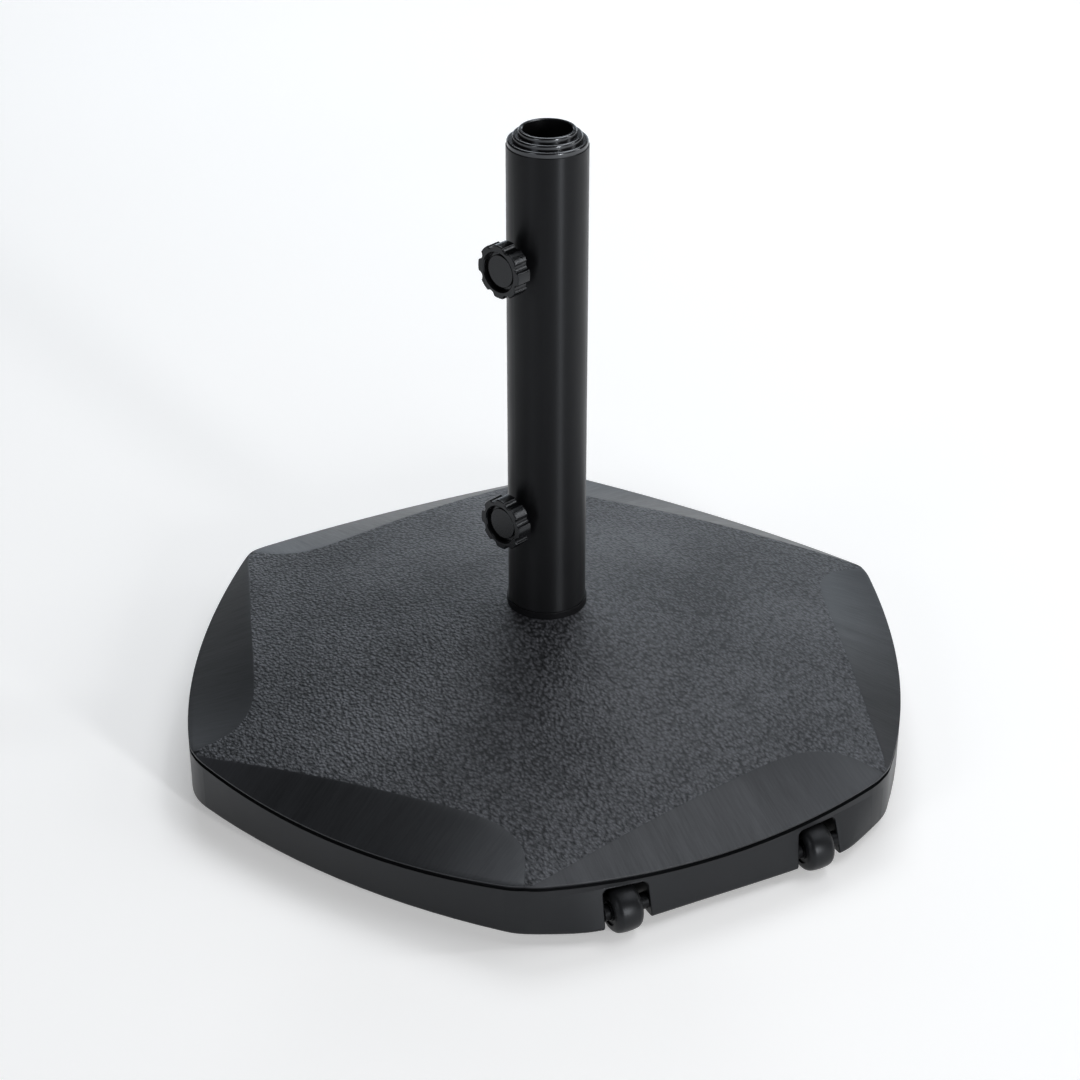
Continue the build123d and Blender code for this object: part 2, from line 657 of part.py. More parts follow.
def make_anchor_bolts():
    """Hexagon bolts that pull the foot plate up against the concrete."""
    head_top = PLATE_Z - WASHER_THICKNESS
    head = hexagon_blank(head_top - BOLT_HEAD_HEIGHT, head_top)
    return Compound(place_on_bolts(head + rod(STUD_RADIUS, head_top, BOLT_END_Z)))


def make_anchor_washers():
    low_z = PLATE_Z - WASHER_THICKNESS
    washer = ring(WASHER_RADIUS, STUD_RADIUS + WASHER_PLAY, low_z, PLATE_Z)
    return Compound(place_on_bolts(washer))


# ---------------------------------------------------------------- reducers and clamps
def make_reducer(name):
    """Flanged sleeve that narrows the tube to a thinner mast."""
    flange_radius, sleeve_radius, hole_radius = REDUCERS[name]
    seat_z = TUBE_TOP_Z + REDUCER_FLANGE * list(REDUCERS).index(name)
    top_z = seat_z + REDUCER_FLANGE
    flange = rod(flange_radius, seat_z, top_z)
    flange = fillet(flange.edges().group_by(Axis.Z)[-1], REDUCER_ROUNDING)
    reducer = flange + rod(sleeve_radius, TUBE_TOP_Z - REDUCER_SLEEVE, seat_z)
    reducer -= rod(hole_radius, 0, top_z)
    hole_edge = reducer.edges().group_by(Axis.Z)[-1].sort_by(SortBy.RADIUS)[0]
    return chamfer(hole_edge, REDUCER_CHAMFER)


def make_weld_nut(height):
    """Nut welded to the outside of the tube, shaped to its curve."""
    low_z = TUBE_RADIUS - NUT_SINK
    nut = hexagon_nut(low_z, STUD_RADIUS + STUD_CLEARANCE, NUT_HEIGHT + NUT_SINK)
    return clamp_place(height) * nut - rod(TUBE_RADIUS, 0, TUBE_TOP_Z)


def make_stud(height):
    """Threaded stud of a clamp screw, drawn at its outside diameter."""
    stud = rod(STUD_RADIUS, STUD_TIP, STUD_END)
    stud = chamfer(stud.edges().group_by(Axis.Z)[0], STUD_CHAMFER)
    return clamp_place(height) * stud


def make_knob(height):
    """Lobed hand knob with a round recess in its face and a blind hole for the stud."""
    back = KNOB_FACE - KNOB_THICKNESS
    section = Circle(KNOB_RADIUS)
    for cut in PolarLocations(LOBE_CUT_CENTRE, KNOB_LOBES, LOBE_PHASE):
        section -= cut * Circle(LOBE_CUT_RADIUS)
    section = fillet(section.vertices(), LOBE_ROUNDING)
    knob = Pos(0, 0, back) * extrude(section, KNOB_THICKNESS)
    knob = fillet(knob.edges().group_by(Axis.Z)[-1], KNOB_EDGE)
    knob = fillet(knob.edges().group_by(Axis.Z)[0], KNOB_EDGE)
    knob -= rod(RECESS_RADIUS, KNOB_FACE - RECESS_DEPTH, KNOB_FACE)
    knob -= rod(STUD_RADIUS + RUNNING_CLEARANCE, back, STUD_HOLE_END)
    circles = knob.edges().filter_by(GeomType.CIRCLE)
    recess_mouth = circles.filter_by_position(Axis.Z, KNOB_FACE, KNOB_FACE)
    knob = chamfer(recess_mouth.sort_by(SortBy.LENGTH)[-1], RECESS_CHAMFER)
    return clamp_place(height) * knob


def make_knob_cap(height):
    """Round cap that covers the end of the stud inside the knob's recess."""
    floor = KNOB_FACE - RECESS_DEPTH
    cap = rod(CAP_RADIUS, floor, floor + CAP_THICKNESS)
    cap = fillet(cap.edges().group_by(Axis.Z)[-1], CAP_ROUNDING)
    return clamp_place(height) * cap


def make_all():
    """Every sub-part by the name of its file."""
    parts = {
        "top_shell": make_top_shell(),
        "bottom_pan": make_bottom_pan(),
        "ballast": make_ballast(),
        "rubber_feet": make_rubber_feet(),
        "pan_screws": make_pan_screws(),
        "pole_tube": make_pole_tube(),
        "pole_collar": make_pole_collar(),
        "foot_plate": make_foot_plate(),
        "anchor_bolts": make_anchor_bolts(),
        "anchor_washers": make_anchor_washers(),
        "cast_in_nuts": make_cast_in_nuts(),
        "axle_spacers": make_axle_spacers(),
    }
    for name in REDUCERS:
        parts[name] = make_reducer(name)
    for name, sign in (("left", -1), ("right", 1)):
        parts[f"{name}_axle"] = make_axle(sign)
        parts[f"{name}_wheel"] = make_wheel(sign)
    for name, height in CLAMP_HEIGHTS.items():
        parts[f"{name}_weld_nut"] = make_weld_nut(height)
        parts[f"{name}_stud"] = make_stud(height)
        parts[f"{name}_knob"] = make_knob(height)
        parts[f"{name}_knob_cap"] = make_knob_cap(height)
    return parts


def main():
    os.makedirs("parts", exist_ok=True)
    for name, shape in make_all().items():
        export_step(shape, f"parts/{name}.step")


main()
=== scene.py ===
import json
import math

import bpy
import numpy as np
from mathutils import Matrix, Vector


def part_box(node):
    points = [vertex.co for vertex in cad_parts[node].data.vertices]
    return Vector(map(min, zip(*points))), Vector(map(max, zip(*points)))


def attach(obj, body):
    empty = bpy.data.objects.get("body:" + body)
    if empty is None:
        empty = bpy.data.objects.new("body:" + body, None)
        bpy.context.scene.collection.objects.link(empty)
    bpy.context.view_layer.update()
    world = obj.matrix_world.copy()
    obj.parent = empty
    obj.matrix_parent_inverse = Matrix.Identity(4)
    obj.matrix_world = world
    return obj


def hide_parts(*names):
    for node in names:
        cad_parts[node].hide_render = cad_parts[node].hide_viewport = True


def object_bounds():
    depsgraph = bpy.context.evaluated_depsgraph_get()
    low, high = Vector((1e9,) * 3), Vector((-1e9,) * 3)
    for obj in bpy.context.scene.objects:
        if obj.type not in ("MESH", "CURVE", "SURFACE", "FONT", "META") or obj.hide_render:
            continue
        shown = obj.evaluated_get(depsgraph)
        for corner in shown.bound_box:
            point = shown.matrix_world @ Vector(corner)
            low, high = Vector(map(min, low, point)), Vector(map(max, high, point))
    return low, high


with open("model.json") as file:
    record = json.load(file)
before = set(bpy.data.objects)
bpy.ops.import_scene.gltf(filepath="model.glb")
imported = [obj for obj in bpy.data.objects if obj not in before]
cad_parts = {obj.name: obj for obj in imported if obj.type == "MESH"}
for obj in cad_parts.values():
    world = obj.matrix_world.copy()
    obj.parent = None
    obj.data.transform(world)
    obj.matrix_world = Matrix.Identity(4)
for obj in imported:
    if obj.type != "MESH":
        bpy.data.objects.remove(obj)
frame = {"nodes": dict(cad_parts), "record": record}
CAD_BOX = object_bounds()
NODES = frame["nodes"]

# ---------------------------------------------------------------- sizes of the cover, in metres
SIDES = 6
HALF_SIDE = math.pi / SIDES              # half the angle that a side takes
CORNER_RADIUS = 0.270                    # centre to the unrounded corners
SIDE_BULGE = 0.0175                      # how far a side bows out from its chord
CORNER_ROUNDING = 0.045
SEAM_CORNER_Z = 0.0445                   # height of the parting line at the corners
SEAM_DIP = 0.0065                        # how far it drops in the middle of a side
GROOVE = 0.003                           # height of the shadow groove
RIM_LIP = 0.001                          # thickness of the cover's edge above the groove
CONE_TOP_RADIUS = 0.030
FACET_DEPTH = 0.022
FACET_RISE_POWER = 1.1
FACET_END_POWER = 6
FACET_CLAMP = 0.925
FACET_REACH = 1.1                        # how far a facet's formula holds, in half sides
FACET_REACH_IN = 0.055                   # and how far in from the chord
FAR_ABOVE = 1.0                          # a height above anything, where no facet reaches
WALL = 0.003
GROOVE_DEPTH = 0.0032
FLANGE_DROP = 0.0026                     # the flange reaches this far below the parting line
CREASE = 0.0005                          # height over which field and facet run into each other
CREASE_HALF_WIDTH = 0.0010
FIELD_SHARE = 0.6                        # share of the corner radius that is field on every side
LIP_ROUNDING = 0.0004
ROUNDED_OFF = 0.3                        # a rounded edge's middle lies this many radii inside it
COLLAR_COVERS = 0.0008                   # how far the collar reaches over the cover's hole

APOTHEM = CORNER_RADIUS * math.cos(HALF_SIDE)
HALF_CHORD = CORNER_RADIUS * math.sin(HALF_SIDE)
SIDE_RADIUS = (HALF_CHORD**2 + SIDE_BULGE**2) / (2 * SIDE_BULGE)
SIDE_CENTRE = SIDE_RADIUS - APOTHEM - SIDE_BULGE
ROUNDING_CENTRE = math.sqrt(
    (SIDE_RADIUS - CORNER_ROUNDING) ** 2 - (SIDE_CENTRE * math.sin(HALF_SIDE)) ** 2
) - SIDE_CENTRE * math.cos(HALF_SIDE)
OUTER_RADIUS = ROUNDING_CENTRE + CORNER_ROUNDING
RIM_CORNER_Z = SEAM_CORNER_Z + GROOVE / 2 + RIM_LIP
CONE_TOP_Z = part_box("pole_collar")[0].z
HOLE_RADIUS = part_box("pole_collar")[1].x - COLLAR_COVERS
CONE_SLOPE = (CONE_TOP_Z - RIM_CORNER_Z) / (OUTER_RADIUS - CONE_TOP_RADIUS)

# ---------------------------------------------------------------- how finely the cover is divided
COLUMNS_PER_SIDE = 96
END_CLUSTERING = 0.72                    # share of the columns' spacing that narrows towards corners
FACET_ROWS = 12
CREASE_ROWS = 6
CREASE_SHARE = 0.35                      # most of a facet's width that the crease may take
FIELD_ROWS = 40
INNER_ROWS = 14
HALVINGS = 30                            # steps in the search for a crease
SIDE_SPACING = 0.1                       # keeps the sides' brush marks different from each other
SHARP_ANGLE = 35.0                       # degrees from which an edge is shown sharp


# ---------------------------------------------------------------- the cover's surface
def side_number(x, y):
    """Which side of the foot points in plan belong to."""
    azimuth = np.arctan2(y, x) + math.pi / 2
    return np.floor(azimuth / (2 * HALF_SIDE)).astype(int) % SIDES


def local_coordinates(x, y, side):
    """Points in plan as seen from a side: u along it, and v outward from its chord."""
    normal = -math.pi / 2 + HALF_SIDE + 2 * HALF_SIDE * side
    u = -x * np.sin(normal) + y * np.cos(normal)
    v = x * np.cos(normal) + y * np.sin(normal) - APOTHEM
    return u, v


def seam_z(u):
    return SEAM_CORNER_Z - SEAM_DIP * (1 - np.minimum(1, (u / HALF_CHORD) ** 2))


def facet_inner_v(u):
    """Inner edge of a facet: a long taper at one end and a blunt curve at the other."""
    t = np.clip(u / HALF_CHORD, -1, 1)
    return -FACET_DEPTH * (1 + t) ** FACET_RISE_POWER * (1 - t**FACET_END_POWER)


def cone_z(x, y):
    return RIM_CORNER_Z + CONE_SLOPE * (OUTER_RADIUS - np.hypot(x, y))


def rim_line(u):
    """The rim's place outward from the chord, and its height, along a side."""
    bow = 1 - (u / HALF_CHORD) ** 2
    return SIDE_BULGE * bow, RIM_CORNER_Z - SEAM_DIP * bow


def facet_z(u, v):
    """Height of the sloping facet of a side, which runs from its rim up to the cone."""
    held_u = np.clip(u, -FACET_CLAMP * HALF_CHORD, FACET_CLAMP * HALF_CHORD)
    inner_v = facet_inner_v(held_u)
    held_rim_v, held_rim_z = rim_line(held_u)
    slope = (cone_z(APOTHEM + inner_v, held_u) - held_rim_z) / (held_rim_v - inner_v)
    rim_v, rim_z = rim_line(u)
    return rim_z + slope * (rim_v - v)


def lowest_facet_z(x, y):
    """The lowest of the facets that reach a point."""
    lowest = np.full(np.shape(x), FAR_ABOVE)
    for side in range(SIDES):
        u, v = local_coordinates(x, y, side)
        near = (np.abs(u) < FACET_REACH * HALF_CHORD) & (v > -FACET_REACH_IN)
        lowest = np.where(near, np.minimum(lowest, facet_z(u, v)), lowest)
    return lowest


def cover_z(x, y):
    """Height of the cover's outer surface, with softly rounded creases along the facets."""
    cone, facet = cone_z(x, y), lowest_facet_z(x, y)
    nearness = np.maximum(CREASE - np.abs(cone - facet), 0) / CREASE
    return np.minimum(cone, facet) - nearness**2 * CREASE / 4


def outline_radius(angle):
    """Distance from the centre to the foot's outline in a direction."""
    from_corner = (angle + math.pi / 2 + HALF_SIDE) % (2 * HALF_SIDE) - HALF_SIDE
    from_middle = HALF_SIDE - np.abs(from_corner)
    bowed = np.sqrt(SIDE_RADIUS**2 - (SIDE_CENTRE * np.sin(from_middle)) ** 2)
    bowed -= SIDE_CENTRE * np.cos(from_middle)
    across = np.minimum(CORNER_ROUNDING, ROUNDING_CENTRE * np.abs(np.sin(from_corner)))
    rounded = ROUNDING_CENTRE * np.cos(from_corner) + np.sqrt(CORNER_ROUNDING**2 - across**2)
    reach = SIDE_RADIUS / (SIDE_RADIUS - CORNER_ROUNDING)
    tangent_x = (ROUNDING_CENTRE * math.cos(HALF_SIDE) + SIDE_CENTRE) * reach - SIDE_CENTRE
    tangent_y = ROUNDING_CENTRE * math.sin(HALF_SIDE) * reach
    return np.where(from_middle < math.atan2(tangent_y, tangent_x), bowed, rounded)


def crease_radius(angle, outer):
    """Where the field meets the facet in each direction, found by halving."""
    low, high = np.full(len(angle), FIELD_SHARE * CORNER_RADIUS), outer.copy()
    for _ in range(HALVINGS):
        middle = (low + high) / 2
        x, y = middle * np.cos(angle), middle * np.sin(angle)
        in_field = cone_z(x, y) < lowest_facet_z(x, y)
        low, high = np.where(in_field, middle, low), np.where(in_field, high, middle)
    return low


# ---------------------------------------------------------------- mesh helpers
def mesh_object(name, vertices, faces, smooth_angle=SHARP_ANGLE):
    mesh = bpy.data.meshes.new(name)
    mesh.from_pydata([tuple(v) for v in vertices], [], faces)
    mesh.shade_smooth()
    mesh.set_sharp_from_angle(angle=math.radians(smooth_angle))
    made = bpy.data.objects.new(name, mesh)
    bpy.context.scene.collection.objects.link(made)
    return made


def ring_faces(rows, columns, closed=True):
    """Quads over a grid that goes round in its columns, and in its rows too if closed."""
    faces = []
    for i in range(rows if closed else rows - 1):
        for j in range(columns):
            a, b = i * columns + j, i * columns + (j + 1) % columns
            c, d = ((i + 1) % rows) * columns + (j + 1) % columns, ((i + 1) % rows) * columns + j
            faces.append((a, b, c, d))
    return faces


def column_angles():
    """Directions of the cover's columns, closer together near the corners."""
    s = np.linspace(-1, 1, COLUMNS_PER_SIDE, endpoint=False)
    local = HALF_SIDE * ((1 - END_CLUSTERING) * s + END_CLUSTERING * (1.5 * s - 0.5 * s**3))
    middles = -math.pi / 2 + HALF_SIDE + 2 * HALF_SIDE * np.arange(SIDES)
    return (middles[:, None] + local[None, :]).ravel()


def make_cover():
    """Cover of the foot as one closed shell: field, facets, rim, groove flange and inside."""
    angle = column_angles()
    outer = outline_radius(angle)
    crease = crease_radius(angle, outer)
    half_width = np.minimum(CREASE_HALF_WIDTH, CREASE_SHARE * (outer - crease))
    cosine, sine = np.cos(angle), np.sin(angle)
    side = side_number(outer * cosine, outer * sine)
    seam = seam_z(local_coordinates(outer * cosine, outer * sine, side)[0])
    rows, kinds = [], []

    def add(radius, z, kind):
        rows.append(np.stack([radius * cosine, radius * sine, z], axis=1))
        kinds.append(kind)

    def add_surface(radius, kind):
        add(radius, cover_z(radius * cosine, radius * sine), kind)

    lip_low = seam + GROOVE / 2
    add(outer - GROOVE_DEPTH, seam - FLANGE_DROP, "smooth")
    add(outer - GROOVE_DEPTH, lip_low, "smooth")
    add(outer - LIP_ROUNDING / 2, lip_low, "smooth")
    add(outer, lip_low + LIP_ROUNDING / 2, "smooth")
    rim = cover_z((outer - LIP_ROUNDING) * cosine, (outer - LIP_ROUNDING) * sine)
    add(outer, rim - LIP_ROUNDING, "smooth")
    add(outer - LIP_ROUNDING * ROUNDED_OFF, rim - LIP_ROUNDING * ROUNDED_OFF, "smooth")
    inset = outer - LIP_ROUNDING
    for i in range(FACET_ROWS):
        add_surface(inset + (crease + half_width - inset) * i / FACET_ROWS, "smooth")
    for i in range(CREASE_ROWS):
        kind = "smooth" if i < CREASE_ROWS // 2 else "grain"
        add_surface(crease + half_width * (1 - 2 * i / CREASE_ROWS), kind)
    start = crease - half_width
    for i in range(FIELD_ROWS + 1):
        add_surface(start + (HOLE_RADIUS - start) * i / FIELD_ROWS, "grain")
    for i in range(INNER_ROWS + 1):
        radius = HOLE_RADIUS + (outer - GROOVE_DEPTH - WALL - HOLE_RADIUS) * i / INNER_ROWS
        add(radius, cover_z(radius * cosine, radius * sine) - WALL, "smooth")
    add(outer - GROOVE_DEPTH - WALL, seam - FLANGE_DROP, "smooth")

    columns = len(angle)
    points = np.concatenate(rows)
    cover = mesh_object("cover", points, ring_faces(len(rows), columns))
    cover.data.flip_normals()
    cover.data.materials.append(MATERIALS["facet_plastic"]())
    cover.data.materials.append(MATERIALS["grain_plastic"]())
    grain = np.array([kind == "grain" for kind in kinds], dtype=np.int32)
    cover.data.polygons.foreach_set("material_index", np.repeat(grain, columns))
    sides = np.tile(side, len(rows))
    u, v = local_coordinates(points[:, 0], points[:, 1], sides)
    brush = cover.data.attributes.new("along_side", "FLOAT_VECTOR", "POINT")
    brush.data.foreach_set("vector", np.stack([u, v, sides * SIDE_SPACING], axis=1).ravel())
    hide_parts("top_shell")
    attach(cover, "base")


# ---------------------------------------------------------------- materials
GLOSS_TINT = (0.90, 0.94, 1.0, 1)        # black plastic and paint reflect slightly blue
PER_METRE = 1000                         # turns metres into millimetres
CELL_SMOOTHNESS = 0.6
NOISE_RANGE = (0.3, 0.7)                 # most values of a noise lie in here
SUM_RANGE = (0.7, 1.3)                   # and most sums of two noises in here
COLOUR_A, COLOUR_B, COLOUR_RESULT = 6, 7, 2      # the colour sockets of a Mix node


def new_material(name):
    material = bpy.data.materials.new(name)
    material.use_nodes = True
    tree = material.node_tree
    tree.nodes.clear()
    shader = tree.nodes.new("ShaderNodeBsdfPrincipled")
    output = tree.nodes.new("ShaderNodeOutputMaterial")
    tree.links.new(shader.outputs["BSDF"], output.inputs["Surface"])
    return material, tree, shader


def position_in_mm(tree, stretch=(1, 1, 1)):
    """Object coordinates in millimetres, so that noise scales are cycles per millimetre."""
    coordinates = tree.nodes.new("ShaderNodeTexCoord")
    mapping = tree.nodes.new("ShaderNodeMapping")
    mapping.inputs["Scale"].default_value = [PER_METRE * s for s in stretch]
    tree.links.new(coordinates.outputs["Object"], mapping.inputs["Vector"])
    return mapping.outputs["Vector"]


def noise(tree, vector, scale, detail=3.0, roughness=0.5):
    node = tree.nodes.new("ShaderNodeTexNoise")
    node.inputs["Scale"].default_value = scale
    node.inputs["Detail"].default_value = detail
    node.inputs["Roughness"].default_value = roughness
    tree.links.new(vector, node.inputs["Vector"])
    return node.outputs["Fac"]


def cells(tree, vector, scale, feature="SMOOTH_F1"):
    node = tree.nodes.new("ShaderNodeTexVoronoi")
    node.feature = feature
    node.inputs["Scale"].default_value = scale
    if feature == "SMOOTH_F1":
        node.inputs["Smoothness"].default_value = CELL_SMOOTHNESS
    tree.links.new(vector, node.inputs["Vector"])
    return node.outputs["Distance"]


def spread(tree, value, low, high, to_low, to_high):
    node = tree.nodes.new("ShaderNodeMapRange")
    node.inputs["From Min"].default_value = low
    node.inputs["From Max"].default_value = high
    node.inputs["To Min"].default_value = to_low
    node.inputs["To Max"].default_value = to_high
    tree.links.new(value, node.inputs["Value"])
    return node.outputs["Result"]


def math_node(tree, operation, a, b):
    node = tree.nodes.new("ShaderNodeMath")
    node.operation = operation
    for socket, value in zip(node.inputs, (a, b)):
        if isinstance(value, float):
            socket.default_value = value
        else:
            tree.links.new(value, socket)
    return node.outputs["Value"]


def mix_colours(tree, factor, dark, light):
    node = tree.nodes.new("ShaderNodeMix")
    node.data_type = "RGBA"
    node.inputs[COLOUR_A].default_value = (*dark, 1)
    node.inputs[COLOUR_B].default_value = (*light, 1)
    tree.links.new(factor, node.inputs["Factor"])
    return node.outputs[COLOUR_RESULT]


def bump(tree, height, distance_mm):
    node = tree.nodes.new("ShaderNodeBump")
    node.inputs["Distance"].default_value = distance_mm / PER_METRE
    tree.links.new(height, node.inputs["Height"])
    return node.outputs["Normal"]


def finish_shader(tree, shader, colour, roughness, normal, specular=0.5):
    tree.links.new(colour, shader.inputs["Base Color"])
    tree.links.new(roughness, shader.inputs["Roughness"])
    tree.links.new(normal, shader.inputs["Normal"])
    shader.inputs["Specular IOR Level"].default_value = specular
    shader.inputs["Specular Tint"].default_value = GLOSS_TINT


GRAIN_TURN = math.radians(35)
GRAIN_CELL_MM = (1.15, 1.75, 1.15)       # the pebbles are drawn out along one direction
GRAIN_PIT_PAINTED_SHADE = (0.003, 0.0032, 0.0038)
GRAIN_TOP_PAINTED_GLINT = (0.078, 0.080, 0.089)
GRAIN_HEIGHTS = (0.66, 1.20)             # heights of the pattern that get the painted shade of the pits and the painted glint of the tops
GRAIN_PATCHES = 0.08                     # how far broad patches shift the colour up or down
GRAIN_DEPTH_MM = 0.75
PEBBLE_HEIGHT = 0.8
PEBBLE_REACH = 0.9                       # distance from a pebble's middle at which it ends


def grain_plastic():
    """Moulded plastic with a pebbled leather grain that lies diagonally; its pits are painted dark
    as painted shade and its pebbles' tops pale as painted glints.
    """
    material, tree, shader = new_material("grain_plastic")
    mapping = tree.nodes.new("ShaderNodeMapping")
    mapping.vector_type = "TEXTURE"
    mapping.inputs["Rotation"].default_value = (0, 0, GRAIN_TURN)
    mapping.inputs["Scale"].default_value = [size / PER_METRE for size in GRAIN_CELL_MM]
    coordinates = tree.nodes.new("ShaderNodeTexCoord")
    tree.links.new(coordinates.outputs["Object"], mapping.inputs["Vector"])
    place = mapping.outputs["Vector"]
    pebbles = cells(tree, place, scale=0.56)
    lumps = noise(tree, place, scale=0.60, detail=3.0, roughness=0.62)
    broad = noise(tree, position_in_mm(tree), scale=0.012, detail=2.0)
    domes = spread(tree, pebbles, 0.0, PEBBLE_REACH, PEBBLE_HEIGHT, 0.0)
    height = math_node(tree, "ADD", domes, lumps)
    patches = spread(tree, broad, *NOISE_RANGE, -GRAIN_PATCHES, GRAIN_PATCHES)
    # painted shade in the pits and painted glints on the pebbles' tops, shifted up or down by broad
    # random patches
    shade = spread(tree, math_node(tree, "ADD", height, patches), *GRAIN_HEIGHTS, 0.0, 1.0)
    colour = mix_colours(tree, shade, GRAIN_PIT_PAINTED_SHADE, GRAIN_TOP_PAINTED_GLINT)
    roughness = spread(tree, math_node(tree, "ADD", lumps, broad), *SUM_RANGE, 0.58, 0.42)
    finish_shader(tree, shader, colour, roughness, bump(tree, height, GRAIN_DEPTH_MM), specular=0.46)
    return material


FACET_DARK = (0.0065, 0.0068, 0.0076)
# pale end of the facet colour, reached by the brush marks and by the painted highlight at the tips
FACET_LIGHT = (0.0300, 0.0311, 0.0345)
BRUSH_SCALE = (1000, 60, 1000)           # millimetres along the side, drawn out down the slope
WIDE_MARKS = (0.25, 0.75)                # the wide marks count half as much as the fine ones
BRUSH_SHADES = (0.82, 1.18)              # values of the marks, from the darkest to the palest
BRUSH_GLOSS = (0.8, 1.2)                 # and from the dullest to the glossiest
BRUSH_CONTRAST = 0.5
BRUSH_DEPTH_MM = 0.045
TIP_START = 0.45 * HALF_CHORD            # from here to its end a facet is painted paler, a painted highlight
TIP_PAINTED_HIGHLIGHT = 0.75


def facet_plastic():
    """The same plastic, smooth, with brush marks that run down the slope and tips painted paler as a
    painted highlight.
    """
    material, tree, shader = new_material("facet_plastic")
    attribute = tree.nodes.new("ShaderNodeAttribute")
    attribute.attribute_name = "along_side"
    mapping = tree.nodes.new("ShaderNodeMapping")
    mapping.inputs["Scale"].default_value = BRUSH_SCALE
    tree.links.new(attribute.outputs["Vector"], mapping.inputs["Vector"])
    wide = noise(tree, mapping.outputs["Vector"], scale=0.05, detail=2.0)
    fine = noise(tree, mapping.outputs["Vector"], scale=0.60, detail=4.0, roughness=0.75)
    marks = math_node(tree, "ADD", spread(tree, wide, 0.0, 1.0, *WIDE_MARKS), fine)
    split = tree.nodes.new("ShaderNodeSeparateXYZ")
    tree.links.new(attribute.outputs["Vector"], split.inputs["Vector"])
    off_middle = math_node(tree, "ABSOLUTE", split.outputs["X"], 0.0)
    # painted highlight: the facet's colour grows paler towards each end
    tips = spread(tree, off_middle, TIP_START, HALF_CHORD, 0.0, TIP_PAINTED_HIGHLIGHT)
    brushed = spread(tree, marks, *BRUSH_SHADES, 0.0, BRUSH_CONTRAST)
    shade = math_node(tree, "ADD", brushed, tips)
    colour = mix_colours(tree, shade, FACET_DARK, FACET_LIGHT)
    roughness = spread(tree, marks, *BRUSH_GLOSS, 0.42, 0.33)
    finish_shader(tree, shader, colour, roughness, bump(tree, fine, BRUSH_DEPTH_MM), specular=0.42)
    return material


PATCH_SCALE = 0.03                       # broad unevenness of a plain finish, in cycles per mm


def moulded_plastic(name, dark, light, rough, specular, ripple_mm=0.02, ripple_scale=0.9):
    """Plain moulded plastic: slightly uneven colour and gloss, with a very faint surface ripple."""
    material, tree, shader = new_material(name)
    place = position_in_mm(tree)
    broad = noise(tree, place, PATCH_SCALE)
    fine = noise(tree, place, ripple_scale, detail=2.0)
    colour = mix_colours(tree, broad, dark, light)
    roughness = spread(tree, broad, *NOISE_RANGE, *rough)
    finish_shader(tree, shader, colour, roughness, bump(tree, fine, ripple_mm), specular)
    return material


def pan_plastic():
    return moulded_plastic(
        "pan_plastic", dark=(0.0075, 0.0078, 0.0088), light=(0.0105, 0.011, 0.012),
        rough=(0.34, 0.42), specular=0.30,
    )


def wheel_plastic():
    return moulded_plastic(
        "wheel_plastic", dark=(0.007, 0.0073, 0.008), light=(0.010, 0.0105, 0.0115),
        rough=(0.34, 0.42), specular=0.24,
    )


def trim_plastic():
    return moulded_plastic(
        "trim_plastic", dark=(0.003, 0.003, 0.0034), light=(0.005, 0.005, 0.0056),
        rough=(0.40, 0.50), specular=0.15,
    )


def reducer_plastic():
    return moulded_plastic(
        "reducer_plastic", dark=(0.003, 0.003, 0.0034), light=(0.006, 0.006, 0.0066),
        rough=(0.20, 0.26), specular=1.0,
    )


def knob_plastic():
    return moulded_plastic(
        "knob_plastic", dark=(0.0018, 0.0019, 0.0022), light=(0.0030, 0.0031, 0.0035),
        rough=(0.19, 0.25), specular=0.38,
    )


TUBE_DARK = (0.0045, 0.0046, 0.0051)
TUBE_LIGHT = (0.0068, 0.0069, 0.0077)
DRAWN_OUT = (1.0, 1.0, 0.02)             # drawing marks are long along the tube
GLOSS_STRETCH = 0.8
QUARTER_TURN = 0.25


def tube_paint():
    """Satin black paint whose gloss is stretched along the tube by fine drawing marks."""
    material, tree, shader = new_material("tube_paint")
    place = position_in_mm(tree)
    along = noise(tree, position_in_mm(tree, DRAWN_OUT), scale=0.9)
    broad, fine = noise(tree, place, PATCH_SCALE), noise(tree, place, scale=0.7, detail=2.0)
    colour = mix_colours(tree, broad, TUBE_DARK, TUBE_LIGHT)
    roughness = spread(tree, math_node(tree, "ADD", along, broad), *SUM_RANGE, 0.33, 0.41)
    finish_shader(tree, shader, colour, roughness, bump(tree, fine, 0.015), specular=0.22)
    around = tree.nodes.new("ShaderNodeTangent")
    around.direction_type = "RADIAL"
    around.axis = "Z"
    tree.links.new(around.outputs["Tangent"], shader.inputs["Tangent"])
    shader.inputs["Anisotropic"].default_value = GLOSS_STRETCH
    shader.inputs["Anisotropic Rotation"].default_value = QUARTER_TURN
    return material


def foot_rubber():
    return moulded_plastic(
        "foot_rubber", dark=(0.018, 0.018, 0.018), light=(0.03, 0.03, 0.03),
        rough=(0.75, 0.85), specular=0.3, ripple_mm=0.05, ripple_scale=1.5,
    )


STEEL_DARK = (0.50, 0.50, 0.47)
STEEL_LIGHT = (0.66, 0.66, 0.64)


def zinc_steel():
    """Zinc-plated steel, with faint turning marks and stains."""
    material, tree, shader = new_material("zinc_steel")
    place = position_in_mm(tree)
    broad, fine = noise(tree, place, scale=0.12, detail=4.0), noise(tree, place, scale=2.2)
    colour = mix_colours(tree, broad, STEEL_DARK, STEEL_LIGHT)
    roughness = spread(tree, fine, *NOISE_RANGE, 0.28, 0.42)
    finish_shader(tree, shader, colour, roughness, bump(tree, fine, 0.01))
    shader.inputs["Metallic"].default_value = 1.0
    return material


CONCRETE_DARK = (0.20, 0.195, 0.185)
CONCRETE_LIGHT = (0.46, 0.45, 0.43)
CONCRETE_HEIGHTS = (0.4, 1.1)            # heights of the pattern that get the two colours; the air holes' low middles get the dark one, a painted shade
AIR_HOLE_REACH = 0.25                    # distance from an air hole's middle at which it ends
AIR_HOLE_HEIGHTS = (-0.6, 0.4)           # in the hole's middle and outside it


